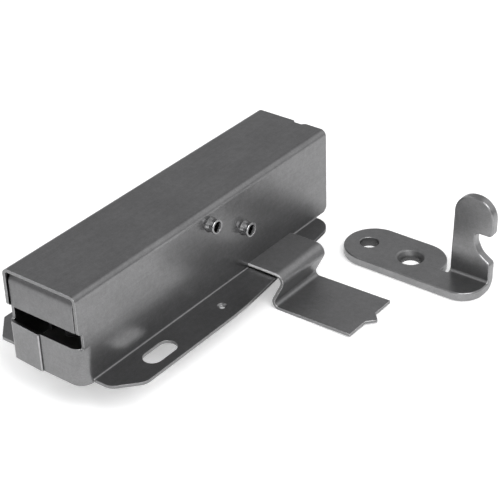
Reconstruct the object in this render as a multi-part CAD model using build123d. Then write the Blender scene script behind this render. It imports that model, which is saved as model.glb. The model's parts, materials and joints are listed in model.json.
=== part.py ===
from build123d import *
import os
from math import asin, cos, degrees, pi, radians, sin

# Touch latch for a cupboard door, with its hook strike lying beside it.
# Millimetres. X is across the housing, Y runs from the mouth to the back, Z is up
# from the wood that the flanges are screwed to. The origin is the middle of the front.

# Housing, one folded sheet
width = 25.4
height = 28.0
length = 108.0
sheet = 0.9
top_bend = 1.9
foot_bend = 0.5
right_corner_bend = 3.8
left_corner_bend = 1.5
slot_low = 11.6
slot_high = 16.4
slot_depth = 1.6
slot_round = 0.8
rim_round = 1.0
seam_x = -1.6
seam_gap = 0.15
seam_round = 0.35
flap_lean = 3.4
rear_notch_x = 3.2
rear_notch_width = 2.4
rear_notch_depth = 0.9
rear_foot_chamfer = 1.2

# Flanges and their holes
flange_front = 3.9
flange_rear = length - 5.4
right_reach = 24.45
left_reach = 27.0
corner_run = 6.3
corner_rise = 7.0
right_corner_round = 4.0
left_corner_round = 0.8
taper_start = 52.2
taper_depth = 5.75
taper_blend = 140.0
lobe_round = 6.3
screw_x = 18.8
screw_y = 23.0
screw_width = 5.6
screw_slot = 11.4
nail_y = 49.4
nail_bore = 1.6
nail_sink = 4.2

# Base plate with its side leaf
plate_lift = 0.3
plate_gap = 0.3
plate_front = 3.7
leaf_front = 69.3
leaf_width = 20.4
leaf_reach = 24.9
leaf_drop = 10.0
leaf_rise = 0.1
leaf_rise_run = 5.0
leaf_end = 47.7
leaf_over_bend = 1.85
leaf_under_bend = 1.4
leaf_fold = 117.0
leaf_tilt = 1.3
tooth_width = 5.2
tooth_reach = 2.45
ear_reach = 3.0
rear_wall_y = length - 2.5
rear_wall_top_gap = 0.6

# Hollow rivets in the right wall
front_rivet_y = 53.5
front_rivet_drop = 5.1
rear_rivet_y = 68.2
rear_rivet_z = 14.6
rivet_neck = 3.6
rivet_waist = 3.9
rivet_root = 4.6
rivet_bore = 2.8
rivet_flare = 4.4
rivet_proud = 2.5
rivet_flare_length = 0.7
rivet_head = 5.8
rivet_head_thick = 0.8

# Strike, one stamped and folded plate
strike_thick = 3.1
strike_width = 18.8
strike_left = 19.2
strike_front = 101.2
base_run = 33.1
hook_gap = 2.1
hook_width = 12.9
hook_height = 29.6
hook_lean = 0.035
lean_round = 20.0
fold_ahead = 0.5
hook_bend = 1.0
head_round = 6.2
beak_height = 18.2
notch_bottom = 9.2
notch_depth = 5.5
notch_round = 1.2
throat_rise = 5.7
throat_round = 4.0
ramp_rise = 2.4
ramp_run = 1.7
ramp_round = 5.0
relief_depth = 0.35
edge_round = 0.5
under_round = 1.0
hole_round = 0.4
sink_round = 1.4
strike_hole = 5.7
strike_hole_x = 7.4
strike_sink = 8.6
strike_pitch = 14.7
strike_end_round = 7.2

# Travel of the carriage, and where the hook meets it
travel = 8.0
park = 5.5
stop_y = 19.0
hook_path_right = 2.9

# Carriage, one folded sheet
side_gap = 0.5
top_gap = 0.3
tab_set = 0.5
tab_bend = 3.3
tab_side = 0.4
tab_left_gap = 0.4
tab_corner = 2.2
carriage_bend = 1.4
carriage_rear = 76.0
wall_front = 12.5
right_wall_rear = 38.0
floor_gap = 0.3
carriage_end_width = 18.0
carriage_end_low = 6.0
window_width = 9.0
window_length = 30.0

# Claw and its pin
claw_x = 6.9
claw_y = 20.1
claw_thick = 2.5
claw_swing = 22.0
claw_boss = 3.0
claw_bore = 3.6
claw_arm = 3.4
finger_thick = 3.2
finger_clear = 0.2
beak_clear = 0.6
pin_shoulder = 4.6
pin_tenon = 3.2
clip_outer = 6.4
clip_thick = 0.6
clip_groove = 2.9
fit = 0.05
face_gap = 0.1

# Fixed post that closes the claw
post_x = 2.2
post_y = 30.0
post_diameter = 2.6
post_tenon = 1.8

# Cam block on the carriage
block_left = -9.0
block_right = 8.6
block_nose_right = 0.4
block_front = 36.0
block_rear = 62.0
block_low = 6.5
nose_low = 8.0
block_rivet = 3.0
block_rivet_head = 5.4
block_rivet_x = -4.5
front_block_rivet_y = 30.0
rear_block_rivet_y = 57.0
bumper_thick = 2.6
bumper_round = 1.2
bumper_margin = 1.0

# Follower on the rear rivet
follower_arm_length = 16.0
follower_lift = 5.0
follower_thick = 1.2
follower_boss = 2.9
follower_nose = 1.7
follower_pin = 1.8
follower_tenon = 1.2
track_width = 2.4
track_depth = 2.2
track_floor_gap = 0.4
washer_thick = 0.7
spring_leaf = 0.35
spring_leaf_reach_y = 8.0
spring_pip_rise = 0.9

# Guide rod and springs
rod_x = -2.0
rod_diameter = 3.4
rod_front = 72.5
rod_head = 5.2
rod_head_thick = 1.0
rod_groove = 2.6
rod_clip_outer = 7.0
rod_clip_thick = 0.7
bush_outer = 5.0
bush_flange = 7.4
bush_flange_thick = 0.6
main_wire = 1.0
main_mean = 6.6
main_turns = 8
claw_wire = 0.6
claw_mean = 6.2
claw_turns = 3

# Places worked out from the sizes above
outer = width / 2
inner = outer - sheet
ceiling = height - sheet
front_rivet_z = height - front_rivet_drop
plate_low = sheet + plate_lift
plate_top = plate_low + sheet
hook_z = (slot_low + slot_high) / 2
carriage_out = inner - side_gap
carriage_in = carriage_out - sheet
deck_top = ceiling - top_gap
deck_low = deck_top - sheet
wall_low = plate_top + floor_gap
rod_z = rear_rivet_z
follower_out = inner - washer_thick - face_gap
follower_in = follower_out - follower_thick
follower_swing = degrees(asin(follower_lift / follower_arm_length))

os.makedirs("parts", exist_ok=True)


def along_x(sketch, x0, x1):
    """Extrude a sketch drawn in Y and Z from x0 to x1."""
    plane = Plane(origin=(x0, 0, 0), x_dir=(0, 1, 0), z_dir=(1, 0, 0))
    return extrude(plane * sketch, amount=x1 - x0)


def along_y(sketch, y0, y1):
    """Extrude a sketch drawn in X and Z from y0 to y1."""
    plane = Plane(origin=(0, y1, 0), x_dir=(1, 0, 0), z_dir=(0, -1, 0))
    return extrude(plane * sketch, amount=y1 - y0)


def along_z(sketch, z0, z1):
    """Extrude a sketch drawn in X and Y from z0 to z1."""
    return extrude(Plane(origin=(0, 0, z0)) * sketch, amount=z1 - z0)


def block(x0, x1, y0, y1, z0, z1):
    """A plain rectangular solid between two corners."""
    return Pos((x0 + x1) / 2, (y0 + y1) / 2, (z0 + z1) / 2) * Box(x1 - x0, y1 - y0, z1 - z0)


def rod_x_axis(diameter, x0, x1, y, z):
    """A round bar along X."""
    return along_x(Pos(y, z) * Circle(diameter / 2), x0, x1)


def rod_y_axis(diameter, y0, y1, x, z):
    """A round bar along Y."""
    return along_y(Pos(x, z) * Circle(diameter / 2), y0, y1)


def rod_z_axis(diameter, z0, z1, x, y):
    """A round bar along Z."""
    return along_z(Pos(x, y) * Circle(diameter / 2), z0, z1)


def save(name, part):
    """Write one sub-part to its own file."""
    part.label = name
    export_step(part, f"parts/{name}.step")


def flange_outline(side, reach, corner_round):
    """Plan of one flange: cut front corner, long edge, slow taper and round rear lobe."""
    inside = inner - 1
    points = [
        (side * inside, flange_front),
        (side * (reach - corner_run), flange_front),
        (side * reach, flange_front + corner_rise),
        (side * reach, taper_start),
        (side * (reach - taper_depth), flange_rear),
        (side * inside, flange_rear),
    ]
    small = 0.2
    radii = [small, corner_round, corner_round, taper_blend, lobe_round, small]
    return make_face(FilletPolyline(*points, radius=radii, close=True))


def hat_section(reach_left, reach_right, foot):
    """Section of the sheet: top, two walls and, below them, two flanges."""
    wall_mid = outer - sheet / 2
    top_mid = height - sheet / 2
    radius = top_bend - sheet / 2
    if not foot:
        line = FilletPolyline(
            (-wall_mid, 0), (-wall_mid, top_mid), (wall_mid, top_mid), (wall_mid, 0), radius=radius
        )
        return trace(line, line_width=sheet)
    foot_radius = foot_bend + sheet / 2
    line = FilletPolyline(
        (-reach_left, sheet / 2),
        (-wall_mid, sheet / 2),
        (-wall_mid, top_mid),
        (wall_mid, top_mid),
        (wall_mid, sheet / 2),
        (reach_right, sheet / 2),
        radius=[foot_radius, radius, radius, foot_radius],
    )
    return trace(line, line_width=sheet)


def front_flap(side, bend, lean, end_x):
    """One wall turned round the front corner to half close the front below the slot."""
    mid = outer - sheet / 2
    radius = bend - sheet / 2
    corner_y = bend
    turn = 90 - lean
    start = (side * mid, flange_front)
    bend_start = (side * mid, corner_y)
    bend_end = (
        side * (mid - radius * (1 - cos(radians(turn)))),
        corner_y - radius * sin(radians(turn)),
    )
    reach = (abs(bend_end[0] - end_x)) / sin(radians(turn))
    end = (
        bend_end[0] - side * reach * sin(radians(turn)),
        bend_end[1] - reach * cos(radians(turn)),
    )
    middle = (
        side * (mid - radius * (1 - cos(radians(turn / 2)))),
        corner_y - radius * sin(radians(turn / 2)),
    )
    line = Curve() + [
        Line(start, bend_start),
        ThreePointArc(bend_start, middle, bend_end),
        Line(bend_end, end),
    ]
    return along_z(trace(line, line_width=sheet), 0, slot_low)


def nail_hole(x):
    """A small hole with a coined sink for the head of a nail."""
    cone = Pos(x, nail_y, sheet / 2) * Cone(
        nail_bore / 2, nail_sink / 2, sheet, align=(Align.CENTER, Align.CENTER, Align.MIN)
    )
    cone &= block(x - nail_sink, x + nail_sink, nail_y - nail_sink, nail_y + nail_sink, 0, sheet)
    return rod_z_axis(nail_bore, -1, sheet + 1, x, nail_y) + cone


def screw_slot_cut(x):
    """An obround slot for a mounting screw."""
    shape = Pos(x, screw_y) * Rot(0, 0, 90) * SlotOverall(screw_slot, screw_width)
    return along_z(shape, -1, sheet + 1)


def make_housing():
    """The folded housing."""
    flanged = along_y(hat_section(left_reach + 2, right_reach + 2, True), flange_front, flange_rear)
    right = flange_outline(1, right_reach, right_corner_round)
    left = flange_outline(-1, left_reach, left_corner_round)
    keep = block(-outer, outer, flange_front, flange_rear, -1, height + 1)
    keep += along_z(right, -1, height / 2) + along_z(left, -1, height / 2)
    body = flanged & keep
    plain = hat_section(0, 0, False)
    body += along_y(plain, 0, flange_front)
    body += along_y(plain, flange_rear, length)

    # The walls stand back below the mouth, and the corners take their place.
    body -= block(-outer - 1, outer + 1, -1, flange_front, -1, slot_low)
    body += front_flap(1, right_corner_bend, 0, seam_x + seam_gap)
    flap = front_flap(-1, left_corner_bend, flap_lean, seam_x)
    seam_edge = flap.edges().filter_by(Axis.Z).filter_by_position(Axis.X, seam_x - 0.3, seam_x + 0.3)
    body += fillet(seam_edge.sort_by(Axis.Y)[0], seam_round)

    # The mouth is cut across the front and a little way into each wall.
    mouth = Pos((slot_depth - 2) / 2, hook_z) * RectangleRounded(
        slot_depth + 2, slot_high - slot_low, slot_round
    )
    body -= along_x(mouth, -outer - 1, outer + 1)
    body -= block(-outer - 1, outer + 1, -1, slot_depth / 2, slot_low, slot_high)
    rim = block(-outer - 1, outer + 1, -1, rim_round, slot_high - 1, slot_high + rim_round)
    rim -= rod_x_axis(2 * rim_round, -outer - 1, outer + 1, rim_round, slot_high + rim_round)
    body -= rim

    # Behind the flanges the walls end a little above the wood.
    body -= block(-outer - 1, outer + 1, flange_rear, length + 1, -1, sheet)
    foot = make_face(
        Polyline(
            (length - rear_foot_chamfer, sheet),
            (length + 1, sheet - 1),
            (length + 1, sheet + rear_foot_chamfer + 1),
            (length - rear_foot_chamfer, sheet),
        )
    )
    body -= along_x(foot, -outer - 1, outer + 1)

    # Notch in the rear edge of the top.
    half = rear_notch_width / 2
    notch = make_face(
        Polyline(
            (rear_notch_x - half - rear_notch_depth, length),
            (rear_notch_x - half, length - rear_notch_depth),
            (rear_notch_x + half, length - rear_notch_depth),
            (rear_notch_x + half + rear_notch_depth, length),
            (rear_notch_x - half - rear_notch_depth, length),
        )
    )
    body -= along_z(notch, ceiling - 1, height + 1)

    # Slots in the feet of the walls, where the base plate comes through.
    ear_front = leaf_front - plate_gap
    ear_rear = leaf_front + leaf_width + plate_gap
    body -= block(-outer - 1, outer + 1, ear_front, ear_rear, sheet, plate_top)

    for x in (-screw_x, screw_x):
        body -= screw_slot_cut(x)
        body -= nail_hole(x)
    body -= rod_x_axis(rivet_neck + 2 * fit, inner - 1, outer + 1, front_rivet_y, front_rivet_z)
    body -= rod_x_axis(rivet_neck + 2 * fit, inner - 1, outer + 1, rear_rivet_y, rear_rivet_z)
    return body


def leaf_section():
    """Section of the leaf: over the edge of the flange, back under it and out again."""
    over = leaf_over_bend + sheet / 2
    under = leaf_under_bend + sheet / 2
    root = plate_low + sheet / 2
    high = root + leaf_rise
    low = -leaf_drop + sheet / 2
    turn = radians(leaf_fold)
    straight = (high - low - (over + under) * (1 - cos(turn))) / sin(turn)
    x0 = leaf_reach - sheet / 2 - over
    arc_end = (x0 + over * sin(turn), high - over * (1 - cos(turn)))
    run_end = (arc_end[0] + straight * cos(turn), arc_end[1] - straight * sin(turn))
    over_mid = (x0 + over * sin(turn / 2), high - over * (1 - cos(turn / 2)))
    centre = (run_end[0] + under * sin(turn), low + under)
    under_mid = (centre[0] - under * sin(turn / 2), centre[1] - under * cos(turn / 2))
    tilt = radians(leaf_tilt)
    last = (centre[0] + under * sin(tilt), centre[1] - under * cos(tilt))
    beyond = leaf_end + tooth_reach + 1
    line = Curve() + [
        Line((inner - 1, root), (outer, root)),
        Spline((outer, root), (outer + leaf_rise_run, high), tangents=[(1, 0), (1, 0)]),
        Line((outer + leaf_rise_run, high), (x0, high)),
        ThreePointArc((x0, high), over_mid, arc_end),
        Line(arc_end, run_end),
        ThreePointArc(run_end, under_mid, last),
        Line(last, (beyond, last[1] + (beyond - last[0]) * sin(tilt) / cos(tilt))),
    ]
    return trace(line, line_width=sheet)


def make_base_plate():
    """Floor of the latch, with its rear wall, its left ear and the leaf on the right."""
    leaf_rear = leaf_front + leaf_width
    leaf = along_y(leaf_section(), leaf_front, leaf_rear)
    middle = leaf_front + leaf_width / 2
    beyond = leaf_end + tooth_reach + 2
    tip = make_face(
        Polyline(
            (leaf_end, leaf_front - 1),
            (leaf_end, middle - tooth_width / 2),
            (leaf_end + tooth_reach, middle),
            (leaf_end, middle + tooth_width / 2),
            (leaf_end, leaf_rear + 1),
            (beyond, leaf_rear + 1),
            (beyond, leaf_front - 1),
            (leaf_end, leaf_front - 1),
        )
    )
    leaf -= along_z(tip, -leaf_drop - 1, -leaf_drop + sheet + 2)

    half = inner - plate_gap
    mid_z = plate_low + sheet / 2
    mid_y = rear_wall_y - sheet / 2
    wall_top = ceiling - rear_wall_top_gap
    line = FilletPolyline(
        (plate_front, mid_z), (mid_y, mid_z), (mid_y, wall_top), radius=1.5 * sheet
    )
    plate = along_x(trace(line, line_width=sheet), -half, half)
    plate += block(-outer - ear_reach, -half, leaf_front, leaf_rear, plate_low, plate_top)
    plate += leaf
    plate -= rod_z_axis(post_tenon + 2 * fit, 0, plate_top + 1, post_x, post_y)
    plate -= rod_y_axis(rod_diameter + 2 * fit, rear_wall_y - 2, rear_wall_y + 1, rod_x, rod_z)
    return plate


def hollow_rivet(y, z, head_in, head_out, head):
    """A hollow rivet along X with a flat head inside and a flared open end outside."""
    end = outer + rivet_proud
    bore = rivet_bore / 2
    neck = rivet_neck / 2
    profile = make_face(
        Polyline(
            (bore, head_in),
            (head / 2, head_in),
            (head / 2, head_out),
            (neck, head_out),
            (neck, outer),
            (rivet_root / 2, outer),
            (rivet_waist * 0.49, outer + rivet_proud * 0.4),
            (rivet_waist / 2, end - rivet_flare_length),
            (rivet_flare / 2, end - 0.15),
            (rivet_flare / 2 - 0.1, end),
            (bore + 0.2, end),
            (bore, end - rivet_flare_length),
            (bore, head_in),
        )
    )
    turned = revolve(Plane.XZ * profile, axis=Axis.Z)
    return Pos(0, y, z) * Rot(0, 90, 0) * turned


def make_strike():
    """The strike: round-ended base plate, two holes and an upright hook folded up."""
    x0 = strike_left
    y0 = strike_front
    z0 = -leaf_drop
    half = strike_width / 2
    rear = y0 + strike_width
    base_top = z0 + strike_thick
    base_end = x0 + base_run
    hook_left = base_end + hook_gap
    hook_right = hook_left + hook_width
    fold = y0 + half - fold_ahead
    bend_top = base_top + hook_bend
    relief = fold - relief_depth
    relief_round = relief_depth - 0.05
    turn = under_round + 0.4

    # The base is drawn past the fold, its edges are rounded, and the surplus is cut off.
    plan = [
        (x0, y0, half - 0.05),
        (hook_right, y0, strike_end_round),
        (hook_right, fold + 3, turn),
        (hook_left, fold + 3, turn),
        (hook_left, relief, relief_round),
        (base_end, relief, relief_round),
        (base_end, rear, half - 0.05),
        (x0, rear, half - 0.05),
    ]
    radii = [r for x, y, r in plan]
    outline = FilletPolyline(*[(x, y) for x, y, r in plan], radius=radii, close=True)
    base = along_z(make_face(outline), z0, base_top)
    skins = base.faces().filter_by(Axis.Z).sort_by(Axis.Z)
    base = fillet(skins[-1].edges(), edge_round)
    skins = base.faces().filter_by(Axis.Z).sort_by(Axis.Z)
    base = fillet(skins[0].edges(), under_round)
    base -= block(hook_left - 0.2, hook_right + 1, fold, fold + 5, z0 - 1, base_top + 1)

    # The bend is a quarter turn of the section that the foot has at the fold.
    section = FilletPolyline(
        (hook_left, z0), (hook_right, z0), (hook_right, base_top), (hook_left, base_top),
        radius=[under_round, under_round, edge_round, edge_round],
        close=True,
    )
    fold_plane = Plane(origin=(0, fold, 0), x_dir=(1, 0, 0), z_dir=(0, -1, 0))
    bend = revolve(fold_plane * make_face(section), Axis((0, fold, bend_top), (1, 0, 0)), 90)

    lean_from = bend_top - z0 + 1

    def at(x, rise):
        """A point of the hook's outline, which leans to the right above the bend."""
        return (hook_left + x + hook_lean * max(0, rise - lean_from), z0 + rise)

    notch_x = hook_width - notch_depth
    corners = [
        (at(0, lean_from - 3), turn),
        (at(0, lean_from), lean_round),
        (at(0, hook_height), head_round),
        (at(hook_width - 0.1, hook_height), head_round),
        (at(hook_width, beak_height), under_round + 0.6),
        (at(notch_x, beak_height), notch_round),
        (at(notch_x, notch_bottom + throat_rise), throat_round),
        (at(notch_x + ramp_run, notch_bottom + ramp_rise), ramp_round),
        (at(hook_width, notch_bottom), under_round + 0.4),
        (at(hook_width, lean_from), lean_round),
        (at(hook_width, lean_from - 3), turn),
    ]
    outline = FilletPolyline(*[p for p, r in corners], radius=[r for p, r in corners], close=True)
    front = fold + hook_bend
    upright = along_y(make_face(outline), front, front + strike_thick)
    skins = upright.faces().filter_by(Axis.Y).sort_by(Axis.Y)
    upright = fillet(skins[0].edges(), edge_round)
    skins = upright.faces().filter_by(Axis.Y).sort_by(Axis.Y)
    upright = fillet(skins[-1].edges(), under_round)
    upright -= block(hook_left - 1, hook_right + 1, front - 1, front + strike_thick + 1, z0, bend_top)
    strike = base + bend + upright

    hole_y = y0 + half
    hole_x = x0 + strike_hole_x
    sink_x = hole_x + strike_pitch
    strike -= rod_z_axis(strike_hole, z0 - 1, base_top + 1, hole_x, hole_y)
    strike -= rod_z_axis(strike_hole, z0 - 1, base_top + 1, sink_x, hole_y)
    sink_depth = (strike_sink - strike_hole) / 2
    strike -= Pos(sink_x, hole_y, base_top) * Cone(
        strike_hole / 2, strike_sink / 2, sink_depth, align=(Align.CENTER, Align.CENTER, Align.MAX)
    )
    rims = strike.edges().filter_by(GeomType.CIRCLE).filter_by_position(
        Axis.Z, base_top - 0.01, base_top + 0.01
    )
    rims = [e for e in rims if abs(e.arc_center.Y - hole_y) < 0.01 and e.radius < strike_sink]
    rims = [e for e in rims if abs(e.length - 2 * pi * e.radius) < 0.01]
    rims = sorted(rims, key=lambda e: e.radius)
    strike = fillet(rims[0], hole_round)
    sink_rims = [
        e for e in strike.edges().filter_by(GeomType.CIRCLE)
        if abs(e.arc_center.X - sink_x) < 0.01 and abs(e.arc_center.Y - hole_y) < 0.01
        and e.arc_center.Z > z0 + 0.5
    ]
    return fillet(sink_rims, sink_round)


def make_carriage():
    """The sliding carriage: deck, front tab, two side walls and a rear wall for the spring."""
    wall_mid = carriage_out - sheet / 2
    deck_mid = deck_top - sheet / 2
    bend = carriage_bend - sheet / 2
    section = FilletPolyline(
        (-wall_mid, wall_low), (-wall_mid, deck_mid), (wall_mid, deck_mid), (wall_mid, wall_low),
        radius=bend,
    )
    channel = along_y(trace(section, line_width=sheet), wall_front, carriage_rear - 2)
    channel -= block(
        carriage_in - bend, outer, right_wall_rear, carriage_rear, wall_low - 1, deck_top + 1
    )
    tab_mid = tab_set + sheet / 2
    end_mid = carriage_rear - sheet / 2
    tab_line = FilletPolyline(
        (tab_mid, slot_high), (tab_mid, deck_mid), (wall_front + 1, deck_mid),
        radius=tab_bend - sheet / 2,
    )
    tab_right = carriage_out - tab_side
    tab_left = tab_left_gap - inner
    tab = along_x(trace(tab_line, line_width=sheet), tab_left, tab_right)
    tab_middle = Pos((tab_left + tab_right) / 2, (deck_top + slot_high - tab_corner) / 2)
    tab_face = tab_middle * RectangleRounded(
        tab_right - tab_left, deck_top - slot_high + tab_corner, tab_corner
    )
    tab &= along_y(tab_face, 0, wall_front + 1)
    end_line = FilletPolyline(
        (right_wall_rear - 1, deck_mid), (end_mid, deck_mid), (end_mid, carriage_end_low),
        radius=bend,
    )
    end_half = carriage_end_width / 2
    end = along_x(trace(end_line, line_width=sheet), -end_half, end_half)
    part = channel + tab + end
    window = Pos((wall_front + carriage_rear) / 2, hook_z) * SlotOverall(window_length, window_width)
    part -= along_x(window, -outer, -carriage_in + 1)
    part -= rod_z_axis(pin_tenon + 2 * fit, deck_low - 1, deck_top + 1, claw_x, claw_y)
    for y in (front_block_rivet_y, rear_block_rivet_y):
        part -= rod_z_axis(block_rivet + 2 * fit, deck_low - 1, deck_top + 1, block_rivet_x, y)
    part -= rod_y_axis(bush_outer + 2 * fit, carriage_rear - 2, carriage_rear + 1, rod_x, rod_z)
    return part


def track_branch(side):
    """Path of the follower's pin over the block, as the carriage travels; side is 1 or -1."""
    points = []
    for share in (0, 0.5, 1):
        swing = radians(follower_swing * share)
        y = rear_rivet_y - follower_arm_length * cos(swing) - travel * share
        z = rear_rivet_z - side * follower_arm_length * sin(swing)
        points.append((y, z))
    return ThreePointArc(*points)


def make_cam_block():
    """Moulded block with the heart-shaped track in its right face."""
    part = block(block_left, block_right, block_front, block_rear, block_low, deck_low)
    part += block(block_left, block_nose_right, stop_y + bumper_thick, block_front, nose_low, deck_low)
    inward = track_branch(1)
    outward = track_branch(-1)
    crossing = Line(inward @ 1, outward @ 1)
    park_y = rear_rivet_y - follower_arm_length - park
    rest = Line((park_y, rear_rivet_z), ((inward @ 1).Y, rear_rivet_z))
    track = Sketch()
    for path in (inward, outward, crossing, rest):
        track += trace(path, line_width=track_width)
    for point in (inward @ 0, inward @ 1, outward @ 1, rest @ 0):
        track += Pos(point.X, point.Y) * Circle(track_width / 2)
    part -= along_x(track, block_right - track_depth, block_right + 1)
    for y in (front_block_rivet_y, rear_block_rivet_y):
        part -= rod_z_axis(block_rivet + 2 * fit, block_low - 1, deck_low + 1, block_rivet_x, y)
    return part


def make_bumper():
    """Rubber pad on the nose of the block, which the tip of the hook pushes."""
    part = block(
        block_left + bumper_margin,
        block_nose_right,
        stop_y,
        stop_y + bumper_thick,
        nose_low + bumper_margin,
        deck_low - 4 * bumper_margin,
    )
    front = part.faces().sort_by(Axis.Y)[0]
    return fillet(front.edges(), bumper_round)


def block_rivet_part(y, low):
    """A rivet that holds the block under the deck, with a flat head below."""
    shank = rod_z_axis(block_rivet, low - block_rivet_head / 6, deck_top, block_rivet_x, y)
    head = rod_z_axis(block_rivet_head, low - block_rivet_head / 4, low, block_rivet_x, y)
    return shank + head


def claw_outline():
    """Plan of the closed claw about its pin: boss, curved arm, finger and cam tail."""
    notch_x = hook_path_right - notch_depth
    beak_y = stop_y - (hook_height - beak_height)
    arm_in = hook_path_right + beak_clear - claw_x
    finger_rear = beak_y - finger_clear - claw_y
    finger_front = finger_rear - finger_thick
    finger_tip = notch_x + beak_clear - claw_x
    arm_out = arm_in + claw_arm
    arm = make_face(
        FilletPolyline(
            (-claw_boss, 0),
            (arm_in, finger_rear + claw_arm),
            (arm_in, finger_rear),
            (finger_tip, finger_rear),
            (finger_tip + 0.9, finger_front),
            (arm_out - 0.8, finger_front),
            (arm_out, finger_rear + claw_arm),
            (claw_boss, 0),
            radius=[0.6, 1.0, 0.6, 0.9, 0.9, 2.2, 1.0, 0.6],
            close=True,
        )
    )

    # The tail rides the fixed post, so its edge keeps a constant distance from the path
    # that the post takes over the claw while the carriage travels.
    reach = post_diameter / 2 + finger_clear
    edge = []
    for share in (1.0, 0.7, 0.45, 0.25):
        angle = radians(claw_swing * (1 - share))
        dx = post_x - claw_x
        dy = post_y - claw_y - travel * share
        px = dx * cos(angle) + dy * sin(angle)
        py = -dx * sin(angle) + dy * cos(angle)
        lean = radians(8 + 30 * (1 - share))
        edge.append((px + reach * cos(lean), py - reach * sin(lean)))
    tail = make_face(
        Curve()
        + [
            Spline(*edge),
            Line(edge[-1], (edge[-1][0] + 1.6, edge[-1][1] + 0.2)),
            Line((edge[-1][0] + 1.6, edge[-1][1] + 0.2), (claw_boss - 0.2, 1.0)),
            Line((claw_boss - 0.2, 1.0), (claw_boss - 0.2, -0.5)),
            Line((claw_boss - 0.2, -0.5), (edge[0][0], -0.5)),
            Line((edge[0][0], -0.5), edge[0]),
        ]
    )
    return arm + tail + Circle(claw_boss)


def make_claw():
    """The claw, shown open as it stands while the door is open."""
    shape = claw_outline() - Circle(claw_bore / 2 + fit)
    placed = Pos(claw_x, claw_y) * Rot(0, 0, claw_swing) * shape
    return along_z(placed, hook_z - claw_thick / 2, hook_z + claw_thick / 2)


def make_claw_pin():
    """Shouldered pin under the deck, with a groove for its clip."""
    claw_low = hook_z - claw_thick / 2
    claw_top = hook_z + claw_thick / 2
    clip_low = claw_low - face_gap - clip_thick
    part = rod_z_axis(pin_shoulder, claw_top + face_gap, deck_low, claw_x, claw_y)
    part += rod_z_axis(pin_tenon, deck_low, deck_top, claw_x, claw_y)
    part += rod_z_axis(claw_bore, clip_low - clip_thick, claw_top + face_gap, claw_x, claw_y)
    groove = rod_z_axis(claw_bore + 1, clip_low, clip_low + clip_thick, claw_x, claw_y)
    groove -= rod_z_axis(clip_groove - 2 * fit, clip_low, clip_low + clip_thick, claw_x, claw_y)
    return part - groove


def snap_ring(outside, inside):
    """Plan of an open snap ring with its mouth towards +Y."""
    ring = Circle(outside / 2) - Circle(inside / 2)
    return ring - Pos(0, outside / 2) * Rectangle(inside * 0.8, outside)


def make_follower_arm():
    """Flat arm on the rear rivet, with its nose over the track."""
    nose_y = rear_rivet_y - follower_arm_length
    ends = [
        Pos(rear_rivet_y, rear_rivet_z) * Circle(follower_boss),
        Pos(nose_y, rear_rivet_z) * Circle(follower_nose),
    ]
    shape = make_hull(ends[0].edges() + ends[1].edges())
    arm = along_x(shape, follower_in, follower_out)
    arm -= rod_x_axis(rivet_neck + 2 * fit, 0, outer, rear_rivet_y, rear_rivet_z)
    arm -= rod_x_axis(follower_tenon + 2 * fit, 0, outer, nose_y, rear_rivet_z)
    return arm


def make_follower_pin():
    """Pin in the follower's nose, which runs in the track."""
    nose_y = rear_rivet_y - follower_arm_length
    tip = block_right - track_depth + track_floor_gap
    pin = rod_x_axis(follower_pin, tip, follower_in, nose_y, rear_rivet_z)
    return pin + rod_x_axis(follower_tenon, follower_in, follower_out, nose_y, rear_rivet_z)


def make_follower_spring():
    """Flat spring under the front rivet, whose pip presses the follower to the block."""
    root = Pos(front_rivet_y, front_rivet_z) * Circle(2.6)
    tip_y = front_rivet_y + spring_leaf_reach_y
    tip_z = rear_rivet_z + spring_pip_rise
    tip = Pos(tip_y, tip_z) * Circle(1.5)
    shape = make_hull(root.edges() + tip.edges())
    part = along_x(shape, inner - spring_leaf, inner)
    part += rod_x_axis(1.4, follower_out + fit, inner - spring_leaf, tip_y, tip_z)
    return part - rod_x_axis(rivet_neck + 2 * fit, 0, outer, front_rivet_y, front_rivet_z)


def make_guide_rod():
    """Rod through the main spring, riveted in the rear wall, with a groove for its clip."""
    clip_y = carriage_rear - sheet - bush_flange_thick - face_gap - rod_clip_thick
    rod = rod_y_axis(rod_diameter, rod_front, rear_wall_y, rod_x, rod_z)
    rod += rod_y_axis(rod_head, rear_wall_y, rear_wall_y + rod_head_thick, rod_x, rod_z)
    groove = rod_y_axis(rod_diameter + 1, clip_y, clip_y + rod_clip_thick, rod_x, rod_z)
    groove -= rod_y_axis(rod_groove - 2 * fit, clip_y, clip_y + rod_clip_thick, rod_x, rod_z)
    return rod - groove


def make_rod_clip():
    """Snap ring on the rod, which stops the carriage at the front of its travel."""
    clip_y = carriage_rear - sheet - bush_flange_thick - face_gap - rod_clip_thick
    ring = Pos(rod_x, rod_z) * snap_ring(rod_clip_outer, rod_groove)
    return along_y(ring, clip_y, clip_y + rod_clip_thick)


def make_rod_bush():
    """Flanged bush in the carriage's rear wall, which slides on the rod."""
    front = carriage_rear - sheet
    part = rod_y_axis(bush_flange, front - bush_flange_thick, front, rod_x, rod_z)
    part += rod_y_axis(bush_outer, front, carriage_rear, rod_x, rod_z)
    part += rod_y_axis(bush_flange, carriage_rear, carriage_rear + bush_flange_thick, rod_x, rod_z)
    return part - rod_y_axis(rod_diameter + 2 * fit, front - 2, carriage_rear + 2, rod_x, rod_z)


def make_main_spring():
    """Compression spring that throws the carriage forward."""
    start = carriage_rear + bush_flange_thick + main_wire / 2 + fit
    end = rear_wall_y - sheet - main_wire / 2 - fit
    pitch = (end - start) / main_turns
    coil = Helix(pitch=pitch, height=end - start, radius=main_mean / 2)
    wire = sweep(Plane(origin=coil @ 0, z_dir=coil % 0) * Circle(main_wire / 2), path=coil)
    return Pos(rod_x, start, rod_z) * Rot(-90, 0, 0) * wire


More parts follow.
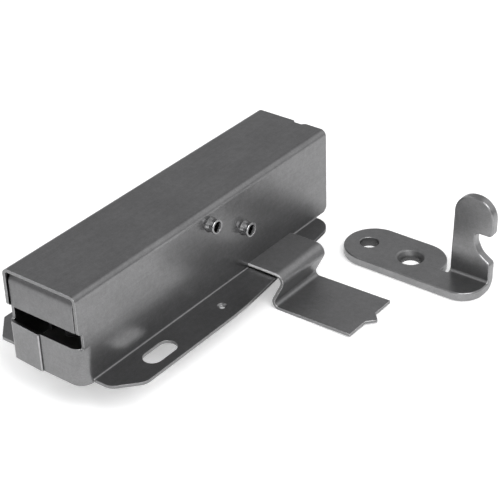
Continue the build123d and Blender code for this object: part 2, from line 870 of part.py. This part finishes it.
def make_claw_spring():
    """Torsion spring round the shoulder of the claw's pin, which holds the claw open."""
    low = hook_z + claw_thick / 2 + claw_wire / 2 + 0.2
    pitch = claw_wire * 1.3
    coil = Helix(pitch=pitch, height=pitch * claw_turns, radius=claw_mean / 2)
    wire = sweep(Plane(origin=coil @ 0, z_dir=coil % 0) * Circle(claw_wire / 2), path=coil)
    return Pos(claw_x, claw_y, low) * wire


# Fixed pieces
save("housing", make_housing())
save("base_plate", make_base_plate())
save("strike", make_strike())
front_head = follower_out + fit
save(
    "front_rivet",
    hollow_rivet(front_rivet_y, front_rivet_z, front_head, inner - spring_leaf, rivet_root + 0.6),
)
rear_head = follower_in - face_gap
save(
    "rear_rivet",
    hollow_rivet(rear_rivet_y, rear_rivet_z, rear_head - rivet_head_thick, rear_head, rivet_head),
)
washer = rod_x_axis(rivet_head, inner - washer_thick, inner, rear_rivet_y, rear_rivet_z)
washer -= rod_x_axis(rivet_neck + 2 * fit, 0, outer, rear_rivet_y, rear_rivet_z)
save("follower_washer", washer)
save("follower_spring", make_follower_spring())
save("guide_rod", make_guide_rod())
save("rod_clip", make_rod_clip())
post = rod_z_axis(post_diameter, plate_top, hook_z + claw_thick / 2, post_x, post_y)
post += rod_z_axis(post_tenon, plate_low, plate_top, post_x, post_y)
save("cam_post", post)

# Pieces that slide with the carriage
save("carriage", make_carriage())
save("cam_block", make_cam_block())
save("bumper", make_bumper())
save("front_block_rivet", block_rivet_part(front_block_rivet_y, nose_low))
save("rear_block_rivet", block_rivet_part(rear_block_rivet_y, block_low))
save("claw_pin", make_claw_pin())
claw_clip = Pos(claw_x, claw_y) * snap_ring(clip_outer, clip_groove)
clip_top = hook_z - claw_thick / 2 - face_gap
save("claw_clip", along_z(claw_clip, clip_top - clip_thick, clip_top))
save("rod_bush", make_rod_bush())

# Pieces that swing
save("claw", make_claw())
save("follower_arm", make_follower_arm())
save("follower_pin", make_follower_pin())

# Springs
save("main_spring", make_main_spring())
save("claw_spring", make_claw_spring())
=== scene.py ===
import bpy
import json
from math import cos, radians, sin
from mathutils import Matrix, Vector

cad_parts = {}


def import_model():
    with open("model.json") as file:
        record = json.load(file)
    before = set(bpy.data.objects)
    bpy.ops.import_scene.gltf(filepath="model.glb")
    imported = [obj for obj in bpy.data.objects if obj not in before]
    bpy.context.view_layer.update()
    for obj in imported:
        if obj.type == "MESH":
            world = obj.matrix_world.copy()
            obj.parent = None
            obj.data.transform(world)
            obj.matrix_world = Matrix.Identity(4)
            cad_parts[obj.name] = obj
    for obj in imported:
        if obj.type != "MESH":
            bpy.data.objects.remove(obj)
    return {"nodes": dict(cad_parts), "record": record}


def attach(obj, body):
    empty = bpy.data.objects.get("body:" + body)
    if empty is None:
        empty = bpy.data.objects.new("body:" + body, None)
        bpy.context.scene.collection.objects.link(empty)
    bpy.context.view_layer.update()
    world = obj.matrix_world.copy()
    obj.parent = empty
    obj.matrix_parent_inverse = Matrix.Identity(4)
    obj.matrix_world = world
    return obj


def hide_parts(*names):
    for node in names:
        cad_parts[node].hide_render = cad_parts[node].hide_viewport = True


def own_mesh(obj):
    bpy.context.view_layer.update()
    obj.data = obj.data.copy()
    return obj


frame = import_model()
scene = bpy.context.scene
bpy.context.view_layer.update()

# The photograph's view, in metres and in pixels of a 500 px frame
FOCAL_PX = 1555.6
FRAME_PX = 500
SENSOR_MM = 36
ELEVATION = radians(31.945)
AZIMUTH = radians(38.605)
ROLL = radians(-2.152)
TARGET = Vector((0.010, 0.060, 0.005))
TARGET_PX = (220.35, 266.31)
TARGET_DEPTH = 0.43755

# The white floor, in the plane under the strike. Rays that see it directly find it lifted to white.
FLOOR_Z = -0.01
FLOOR_HALF = 6
FLOOR_LIFT = 0.34

# Name, place, the spot it points at, side in metres and power in watts
LAMPS = (
    ("key", (0.34, -0.06, 0.42), (0.04, 0.05, 0), 0.3, 1.7),
    ("fill", (-0.5, -0.2, 0.45), (0.01, 0.05, 0), 0.4, 0.9),
    ("back_card", (0.40, 0.62, 0.50), (0.03, 0.08, 0.005), 0.8, 1.1),
    ("front_card", (0.28, -0.364, 0.318), (0.04, 0.08, 0), 0.2, 0.85),
)

# Noise patterns: repeats per metre along x, y and z, then detail and roughness
GRAIN_ALONG_X = (60, 1400, 1400)
GRAIN_ALONG_Y = (1400, 60, 1400)
GRAIN_FINE = (900, 900, 900)
LINES = (6, 0.7)
CLOUD = ((120, 80, 120), 6, 0.62)
MOTTLE = ((700, 700, 700), 4, 0.6)
FINE = ((3200, 3200, 3200), 2, 0.5)
DENTS = ((70, 28, 70), 1, 0.4)
SHEEN = ((90, 45, 90), 2, 0.4)
PIT_SCALE = (1500, 1500, 1500)

# How much a plated sheet's roughness varies. No material's roughness may cross 0.274, because
# the denoiser leaves dark specks along such a border.
ROUGH_SWING = 0.022

# Over this width the masks of single places fade out
FADE = 0.0004

# The sheared front edge of the leaf, which gets a painted highlight: its y, its x from and to, and
# the lowest z that the painted highlight reaches
LEAF_CUT = (0.0693, 0.0125, 0.0248, 0.0016)

# The rounded corner of the left front flap, where it stands proud beside the right one, which gets
# a
# painted highlight: its x, the width of the rounding, and the y and z that it stays below
SEAM_CORNER = (-0.0016, 0.00036, -0.00005, 0.0113)

# The strike's thickness, a reach that takes in its holes with the countersink, and the depth of the
# top rim that the holes' painted shade leaves out
STRIKE_THICK = 0.0031
HOLE_REACH = 0.0046
HOLE_RIM = 0.0001


def camera():
    """The camera of the photograph, with no shift."""
    right = Vector((cos(AZIMUTH), sin(AZIMUTH), 0))
    level = Vector((-sin(AZIMUTH), cos(AZIMUTH), 0)) * cos(ELEVATION)
    forward = level - Vector((0, 0, sin(ELEVATION)))
    down = forward.cross(right)
    across = right * cos(ROLL) - down * sin(ROLL)
    below = right * sin(ROLL) + down * cos(ROLL)
    x, y = ((px - FRAME_PX / 2) / FOCAL_PX * TARGET_DEPTH for px in TARGET_PX)
    place = TARGET - across * x - below * y - forward * TARGET_DEPTH
    data = bpy.data.cameras.new("camera")
    data.sensor_width = SENSOR_MM
    data.lens = FOCAL_PX / FRAME_PX * SENSOR_MM
    data.clip_start = 0.01
    data.clip_end = 20
    obj = bpy.data.objects.new("camera", data)
    axes = Matrix((across, -below, -forward)).transposed()
    obj.matrix_world = Matrix.Translation(place) @ axes.to_4x4()
    scene.collection.objects.link(obj)
    scene.camera = obj


class Tree:
    """A small helper that makes a material, adds nodes to it and links them."""

    def __init__(self, name):
        self.material = bpy.data.materials.new(name)
        self.material.use_nodes = True
        self.nodes = self.material.node_tree.nodes
        self.links = self.material.node_tree.links
        self.shader = self.nodes["Principled BSDF"]
        self.coords = None

    def set(self, socket, value):
        """Give a socket a number or a colour, or link it."""
        if isinstance(value, (int, float)):
            socket.default_value = value
        elif isinstance(value, tuple):
            socket.default_value = (*value, 1)
        else:
            self.links.new(value, socket)

    def put(self, name, value):
        """Give one of the shader's own sockets a number or a colour, or link it."""
        self.set(self.shader.inputs[name], value)

    def place(self):
        """The object's own coordinates, in metres."""
        if self.coords is None:
            self.coords = self.nodes.new("ShaderNodeTexCoord")
        return self.coords.outputs["Object"]

    def parts(self, vector):
        """The sockets x, y and z of a vector."""
        node = self.nodes.new("ShaderNodeSeparateXYZ")
        self.links.new(vector, node.inputs["Vector"])
        return [node.outputs[axis] for axis in "XYZ"]

    def stretched(self, scale):
        node = self.nodes.new("ShaderNodeMapping")
        node.inputs["Scale"].default_value = scale
        self.links.new(self.place(), node.inputs["Vector"])
        return node.outputs["Vector"]

    def noise(self, scale, detail, rough=0.55):
        node = self.nodes.new("ShaderNodeTexNoise")
        node.inputs["Scale"].default_value = 1
        node.inputs["Detail"].default_value = detail
        node.inputs["Roughness"].default_value = rough
        self.links.new(self.stretched(scale), node.inputs["Vector"])
        return node.outputs["Fac"]

    def pits(self, scale):
        """1 on small round pits, else 0."""
        node = self.nodes.new("ShaderNodeTexVoronoi")
        node.inputs["Scale"].default_value = 1
        self.links.new(self.stretched(scale), node.inputs["Vector"])
        return self.fit(node.outputs["Distance"], 0.03, 0.14, 1, 0)

    def fit(self, value, low, high, to_low, to_high):
        """A value's range from low to high, fitted to another range and clamped to it."""
        node = self.nodes.new("ShaderNodeMapRange")
        node.inputs["From Min"].default_value = low
        node.inputs["From Max"].default_value = high
        node.inputs["To Min"].default_value = to_low
        node.inputs["To Max"].default_value = to_high
        self.links.new(value, node.inputs["Value"])
        return node.outputs["Result"]

    def vary(self, noise, low, high):
        """A noise's usual range, fitted to low and high."""
        return self.fit(noise, 0.3, 0.7, low, high)

    def maths(self, kind, a, b=0):
        node = self.nodes.new("ShaderNodeMath")
        node.operation = kind
        self.set(node.inputs[0], a)
        self.set(node.inputs[1], b)
        return node.outputs["Value"]

    def times(self, product, *factors):
        for factor in factors:
            product = self.maths("MULTIPLY", product, factor)
        return product

    def shaded(self, tone, light):
        """A colour made lighter or darker."""
        node = self.nodes.new("ShaderNodeVectorMath")
        node.operation = "SCALE"
        node.inputs[0].default_value = tone
        self.links.new(light, node.inputs["Scale"])
        return node.outputs["Vector"]

    def blend(self, fac, base, tone):
        """The base colour, turning into a tone where fac is 1."""
        node = self.nodes.new("ShaderNodeMix")
        node.data_type = "RGBA"
        base_in, tone_in = (s for s in node.inputs if s.type == "RGBA")
        self.set(node.inputs["Factor"], fac)
        self.set(base_in, base)
        self.set(tone_in, tone)
        return next(s for s in node.outputs if s.type == "RGBA")

    def bump(self, height, distance, strength, normal):
        node = self.nodes.new("ShaderNodeBump")
        node.inputs["Strength"].default_value = strength
        node.inputs["Distance"].default_value = distance
        self.links.new(height, node.inputs["Height"])
        self.links.new(normal, node.inputs["Normal"])
        return node.outputs["Normal"]

    def rounded(self, radius):
        """Normals that round off the edges."""
        node = self.nodes.new("ShaderNodeBevel")
        node.samples = 6
        node.inputs["Radius"].default_value = radius
        return node.outputs["Normal"]

    def edge(self, normal):
        """Near 1 on an outer or inner edge and 0 on a flat face."""
        geometry = self.nodes.new("ShaderNodeNewGeometry")
        dot = self.nodes.new("ShaderNodeVectorMath")
        dot.operation = "DOT_PRODUCT"
        self.links.new(geometry.outputs["Normal"], dot.inputs[0])
        self.links.new(normal, dot.inputs[1])
        return self.fit(dot.outputs["Value"], 0.995, 0.86, 0, 1)

    def cavity(self, reach):
        """Near 1 in the open and falling towards 0 deep in a hole or a corner."""
        node = self.nodes.new("ShaderNodeAmbientOcclusion")
        node.samples = 6
        node.only_local = True
        node.inputs["Distance"].default_value = reach
        return node.outputs["AO"]

    def cut_face(self, y, x_low, x_high, z_low):
        """1 on the upper part of the faces that look forwards at one place, else 0."""
        geometry = self.nodes.new("ShaderNodeNewGeometry")
        looks_y = self.parts(geometry.outputs["True Normal"])[1]
        at_x, at_y, at_z = self.parts(self.place())
        away = self.maths("ABSOLUTE", self.maths("SUBTRACT", at_y, y))
        return self.times(
            self.maths("LESS_THAN", looks_y, -0.7),
            self.maths("LESS_THAN", away, FADE),
            self.maths("GREATER_THAN", at_x, x_low),
            self.fit(at_x, x_high - 0.001, x_high, 1, 0),
            self.fit(at_z, z_low - FADE, z_low, 0, 1))

    def corner(self, x, width, y_high, z_high):
        """1 on one rounded upright corner at the front, else 0."""
        at_x, at_y, at_z = self.parts(self.place())
        return self.times(
            self.fit(at_x, x - width, x - 0.6 * width, 0, 1),
            self.maths("LESS_THAN", at_x, x + 0.00002),
            self.maths("LESS_THAN", at_y, y_high),
            self.maths("LESS_THAN", at_z, z_high))

    def bores(self, centres, reach, z_top):
        """1 on the walls of upright holes at some places, below a face, else 0."""
        at_x, at_y, at_z = self.parts(self.place())
        mask = 0
        for x, y in centres:
            dx = self.maths("SUBTRACT", at_x, x)
            dy = self.maths("SUBTRACT", at_y, y)
            away = self.maths("ADD", self.times(dx, dx), self.times(dy, dy))
            mask = self.maths("MAXIMUM", self.maths("LESS_THAN", away, reach * reach), mask)
        return self.times(mask, self.fit(at_z, z_top - FADE, z_top, 1, 0))


def plated(name, tone, rough, grain_scale, edge_tone, edge_radius=0.00018, grain=0.04,
           relief=0.000008, waviness=0.00012, metal=1.0, shade_in=0.0, cut=None, holes=None,
           seam_highlight=None):
    """Zinc-plated sheet: rolled grain one way, a cloudy plating, tiny pits, and edges lightened
    partly as wear and partly as a painted highlight.

    shade_in is how much darker the colour is painted deep in corners, a painted shade. cut is the
    place of a sheared face painted bright as a highlight, holes the places of punched holes made
    rougher and painted darker as shade, and burnished the place of a corner painted bright as a
    highlight.
    """
    t = Tree(name)
    lines = t.noise(grain_scale, *LINES)
    mottle = t.noise(*MOTTLE)
    fine = t.noise(*FINE)
    normal = t.rounded(edge_radius)
    spread = t.vary(t.noise(*SHEEN), rough - ROUGH_SWING, rough + ROUGH_SWING)
    # Edges are lightened towards edge_tone: partly wear of the plating, partly a painted highlight.
    wear_and_highlight = t.times(t.edge(normal), t.fit(mottle, 0.35, 0.6, 0.55, 1.0))
    light = t.times(
        t.vary(lines, 1 - grain, 1 + grain),
        t.vary(t.noise(*CLOUD), 0.92, 1.08),
        t.vary(mottle, 0.93, 1.07),
        t.vary(fine, 0.92, 1.08))
    light = t.maths("SUBTRACT", light, t.times(t.pits(PIT_SCALE), 0.03))
    if shade_in:
        # Painted shade: the colour is darkened deep in corners, bends and holes.
        deep = t.cavity(0.007)
        light = t.times(light, t.fit(deep, 0.35, 0.85, 1 - shade_in, 1))
        wear_and_highlight = t.times(wear_and_highlight, t.fit(deep, 0.45, 0.7, 0, 1))
    if cut:
        # Painted highlight: the upper part of the leaf's sheared front face turns near white and
        # less metallic.
        sheared = t.cut_face(*cut)
        wear_and_highlight = t.maths("MAXIMUM", wear_and_highlight, t.times(sheared, t.fit(mottle, 0.3, 0.6, 0.8, 1.0)))
        metal = t.maths("SUBTRACT", metal, t.times(sheared, 0.6))
    if seam_highlight:
        # Painted highlight on the rounded seam corner of the left front flap.
        painted_seam_highlight = t.corner(*seam_highlight)
        wear_and_highlight = t.maths("MAXIMUM", wear_and_highlight, t.times(painted_seam_highlight, t.fit(mottle, 0.3, 0.6, 0.6, 1.0)))
    if holes:
        # Painted shade in the strike's holes: their colour is darkened by half, and they are also
        # made rougher.
        dull_and_shaded = t.bores(*holes)
        light = t.times(light, t.fit(dull_and_shaded, 0, 1, 1, 0.5))
        wear_and_highlight = t.times(wear_and_highlight, t.fit(dull_and_shaded, 0, 1, 1, 0.1))
        spread = t.maths("ADD", spread, t.times(dull_and_shaded, 0.25))
    t.put("Base Color", t.blend(wear_and_highlight, t.shaded(tone, light), edge_tone))
    t.put("Metallic", metal)
    t.put("Roughness", spread)
    waves = t.bump(t.noise(*DENTS), waviness, 0.6, normal)
    height = t.maths("ADD", t.times(lines, 0.5), t.times(fine, 0.4))
    t.put("Normal", t.bump(t.maths("ADD", height, mottle), relief, 0.4, waves))
    return t.material


def bright(name, tone, rough, turned=(400, 400, 400)):
    """Bright plated steel with fine turning marks."""
    t = Tree(name)
    lines = t.noise(turned, 5, 0.6)
    fine = t.noise((1800, 1800, 1800), 3)
    t.put("Base Color", t.shaded(tone, t.vary(lines, 0.85, 1.1)))
    t.put("Metallic", 1.0)
    t.put("Roughness", t.vary(fine, rough - 0.03, rough + 0.03))
    t.put("Normal", t.bump(lines, 0.00001, 0.5, t.rounded(0.00012)))
    return t.material


def moulded(name, tone, rough, deep):
    """Moulded plastic or rubber with a fine eroded texture."""
    t = Tree(name)
    skin = t.noise((1500, 1500, 1500), 4)
    cloud = t.noise((150, 150, 150), 3)
    t.put("Base Color", t.shaded(tone, t.vary(cloud, 0.93, 1.05)))
    t.put("Roughness", t.vary(skin, rough - 0.08, rough + 0.08))
    t.put("Normal", t.bump(skin, deep, 0.6, t.rounded(0.0002)))
    return t.material


def strike_bores():
    """The centres of the strike's two holes, their reach, and the height below which they are made
    rougher and painted darker as shade.
    """
    mounts = {m["name"]: m for m in frame["record"]["mounts"]}
    x, y, strike_low = mounts["strike_holes"]["pos_m"]
    half_pitch = mounts["strike_holes"]["dims"]["spacing_x_mm"] / 2000
    centres = ((x - half_pitch, y), (x + half_pitch, y))
    return centres, HOLE_REACH, strike_low + STRIKE_THICK - HOLE_RIM


def dress(material, *nodes):
    """Give CAD nodes a material."""
    for node in nodes:
        slots = frame["nodes"][node].data.materials
        if len(slots) == 0:
            slots.append(material)
        for i in range(len(slots)):
            slots[i] = material


def shortening_spring(name, node, material, body):
    """A coil of the node's own shape, on its own copy of the mesh, attached to a body in place of
    the node.
    """
    coil = bpy.data.objects.new(name, frame["nodes"][node].data.copy())
    scene.collection.objects.link(coil)
    coil.data.materials.clear()
    coil.data.materials.append(material)
    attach(coil, body)
    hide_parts(node)
    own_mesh(coil)


def lamp(name, place, target, side, power):
    """A soft square lamp that points at a spot."""
    data = bpy.data.lights.new(name, "AREA")
    data.size = side
    data.energy = power
    obj = bpy.data.objects.new(name, data)
    obj.location = place
    obj.rotation_euler = (Vector(target) - Vector(place)).to_track_quat("-Z", "Y").to_euler()
    scene.collection.objects.link(obj)


def floor():
    """White floor that keeps a soft shadow."""
    mesh = bpy.data.meshes.new("floor")
    corners = [(x * FLOOR_HALF, y * FLOOR_HALF, FLOOR_Z)
               for x, y in ((-1, -1), (1, -1), (1, 1), (-1, 1))]
    mesh.from_pydata(corners, [], [(0, 1, 2, 3)])
    obj = bpy.data.objects.new("floor", mesh)
    scene.collection.objects.link(obj)
    t = Tree("floor_white")
    t.put("Base Color", (0.86, 0.86, 0.86))
    t.put("Roughness", 0.9)
    t.put("Specular IOR Level", 0.0)
    rays = t.nodes.new("ShaderNodeLightPath").outputs
    seen = t.maths("MAXIMUM", rays["Is Camera Ray"], rays["Is Glossy Ray"])
    seen = t.maths("MAXIMUM", seen, rays["Is Transmission Ray"])
    t.put("Emission Color", (1, 1, 1))
    t.put("Emission Strength", t.times(seen, FLOOR_LIFT))
    mesh.materials.append(t.material)


def world():
    """Plain pale surroundings."""
    data = bpy.data.worlds.new("studio")
    scene.world = data
    data.use_nodes = True
    back = data.node_tree.nodes["Background"]
    back.inputs["Color"].default_value = (0.5, 0.5, 0.505, 1)
    back.inputs["Strength"].default_value = 1.0


camera()
floor()
world()
for settings in LAMPS:
    lamp(*settings)

sheet = plated(
    "zinc_sheet", (0.202, 0.202, 0.204), 0.305, GRAIN_ALONG_Y, (0.42, 0.42, 0.425), 0.00022,
    grain=0.06, seam_highlight=SEAM_CORNER)
# The leaf's edges turn near white, partly wear and partly a painted highlight, and its sheared
# front face carries a painted highlight.
leaf = plated(
    "zinc_leaf", (0.21, 0.21, 0.212), 0.40, GRAIN_ALONG_X, (0.9, 0.9, 0.905),
    metal=0.85, cut=LEAF_CUT)
plate = plated(
    "zinc_strike", (0.25, 0.25, 0.252), 0.298, GRAIN_ALONG_X, (0.5, 0.5, 0.505), 0.0002,
    grain=0.03, relief=0.000004, waviness=0.00003, shade_in=0.15, holes=strike_bores())
inner = plated(
    "zinc_inner", (0.175, 0.175, 0.177), 0.33, GRAIN_ALONG_Y, (0.55, 0.55, 0.555))
rivet = plated(
    "bright_rivet", (0.30, 0.30, 0.303), 0.22, GRAIN_FINE, (0.45, 0.45, 0.455), 0.00008,
    grain=0.05, waviness=0.00002)
turned = bright("bright_steel", (0.42, 0.42, 0.425), 0.23)
# Painted shade: the claw is made near black so that it reads as the shade inside the slot.
claw_painted_shade = bright("blackened_steel", (0.012, 0.012, 0.0125), 0.42, (300, 1200, 300))
spring = bright("spring_steel", (0.20, 0.20, 0.205), 0.32, GRAIN_FINE)
nylon = moulded("nylon", (0.78, 0.77, 0.71), 0.42, 0.00003)
rubber = moulded("rubber", (0.03, 0.03, 0.031), 0.65, 0.00005)

dress(sheet, "housing")
dress(leaf, "base_plate")
dress(plate, "strike")
dress(inner, "carriage", "follower_washer")
dress(rivet, "front_rivet", "rear_rivet", "front_block_rivet", "rear_block_rivet")
dress(turned, "guide_rod", "cam_post", "claw_pin", "follower_arm", "follower_pin")
dress(claw_painted_shade, "claw")
dress(spring, "main_spring", "claw_spring", "rod_clip", "claw_clip", "follower_spring")
shortening_spring(
    "main_spring_coil", "main_spring", spring, "frame")
dress(nylon, "cam_block", "rod_bush")
dress(rubber, "bumper")

scene.view_settings.view_transform = "Standard"
